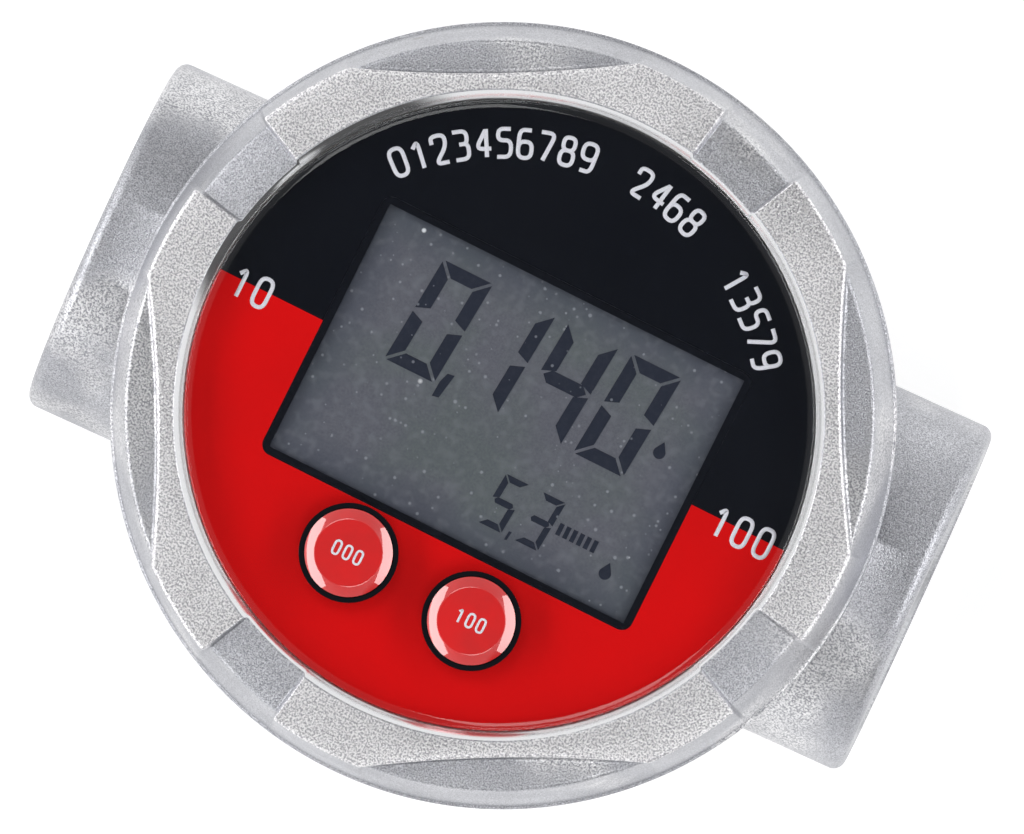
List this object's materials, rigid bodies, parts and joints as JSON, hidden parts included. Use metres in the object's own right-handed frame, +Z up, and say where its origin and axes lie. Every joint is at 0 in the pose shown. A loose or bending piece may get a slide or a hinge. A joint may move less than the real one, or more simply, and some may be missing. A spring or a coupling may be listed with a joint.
{
  "type": "turbine flow meter",
  "caption": "Inline turbine flow meter for one-inch pipe: cast body with bladed rotor, battery display module, push buttons and screw cap.",
  "frame": {"origin": "centre of the foot's underside, on the surface that the body stands on", "axes": "+X along the flow from inlet to outlet, +Z up through the display"},
  "size_m": [0.1032, 0.0902, 0.0605],
  "materials": {
    "cast_alloy": "die-cast, shot-blasted skin with turned edges",
    "brass": "turned",
    "steel": "ground",
    "spring_steel": "oiled",
    "white_plastic": "moulded",
    "blue_plastic": "moulded",
    "black_plastic": "moulded",
    "black_gloss": "glossy",
    "red_gloss": "glossy, domed",
    "printed_film": "black and red print under a clear lens",
    "clear_lens": "clear, glossy",
    "display_glass": "grey liquid crystal glass",
    "silver_film": "reflector film",
    "rubber": "nitrile rubber",
    "board": "green solder mask",
    "chip_black": "moulded epoxy",
    "battery_skin": "plain sleeve",
    "magnet": "nickel plated"
  },
  "bodies": {
    "meter": {"meter_body": "cast_alloy", "inlet_flow_guide": "white_plastic", "outlet_flow_guide": "white_plastic", "inlet_bearing_bush": "brass", "outlet_bearing_bush": "brass", "inlet_retaining_ring": "spring_steel", "outlet_retaining_ring": "spring_steel", "display_tray": "black_plastic", "tray_screws": "steel", "board_screws": "steel", "battery_holder_rear": "black_plastic", "battery_holder_front": "black_plastic", "battery_rear": "battery_skin", "battery_front": "battery_skin", "battery_contacts": "steel", "circuit_board": "board", "board_chips": "chip_black", "hall_sensor": "chip_black", "lcd_carrier": "white_plastic", "lcd_glass": "display_glass", "lcd_reflector": "silver_film", "zebra_connectors": "rubber", "lcd_frame": "black_gloss", "face_label": "printed_film", "face_lens": "clear_lens", "face_gasket": "rubber", "button_bezels": "black_gloss", "reset_switch": "black_plastic", "cal_switch": "black_plastic", "cap_o_ring": "rubber"},
    "rotor": {"turbine_rotor": "blue_plastic", "rotor_magnets": "magnet", "rotor_shaft": "steel"},
    "slip_ring": {"cap_slip_ring": "white_plastic"},
    "cap": {"screw_cap": "cast_alloy"},
    "reset_key": {"reset_button": "red_gloss", "reset_plunger": "black_plastic"},
    "cal_key": {"cal_button": "red_gloss", "cal_plunger": "black_plastic"}
  },
  "joints": [
    {"name": "rotor_spin", "type": "hinge", "parent": "meter", "child": "rotor", "pos_m": [0, 0, 0.02163], "axis": [1, 0, 0], "continuous": true},
    {"name": "cap_lift", "type": "slide", "parent": "meter", "child": "slip_ring", "axis": [0, 0, 1], "range_m": [0, 0.0061]},
    {"name": "cap_turn", "type": "hinge", "parent": "slip_ring", "child": "cap", "pos_m": [0, 0, 0.0435], "axis": [0, 0, 1], "range_deg": [0, 1080]},
    {"name": "reset_press", "type": "slide", "parent": "meter", "child": "reset_key", "axis": [0, 0, -1], "range_m": [0, 0.0006], "stiffness_N_per_m": 800},
    {"name": "cal_press", "type": "slide", "parent": "meter", "child": "cal_key", "axis": [0, 0, -1], "range_m": [0, 0.0006], "stiffness_N_per_m": 800}
  ],
  "couplings": [
    {"joint": "cap_lift", "follows": "cap_turn", "m_per_rad": 0.00031831}
  ]
}
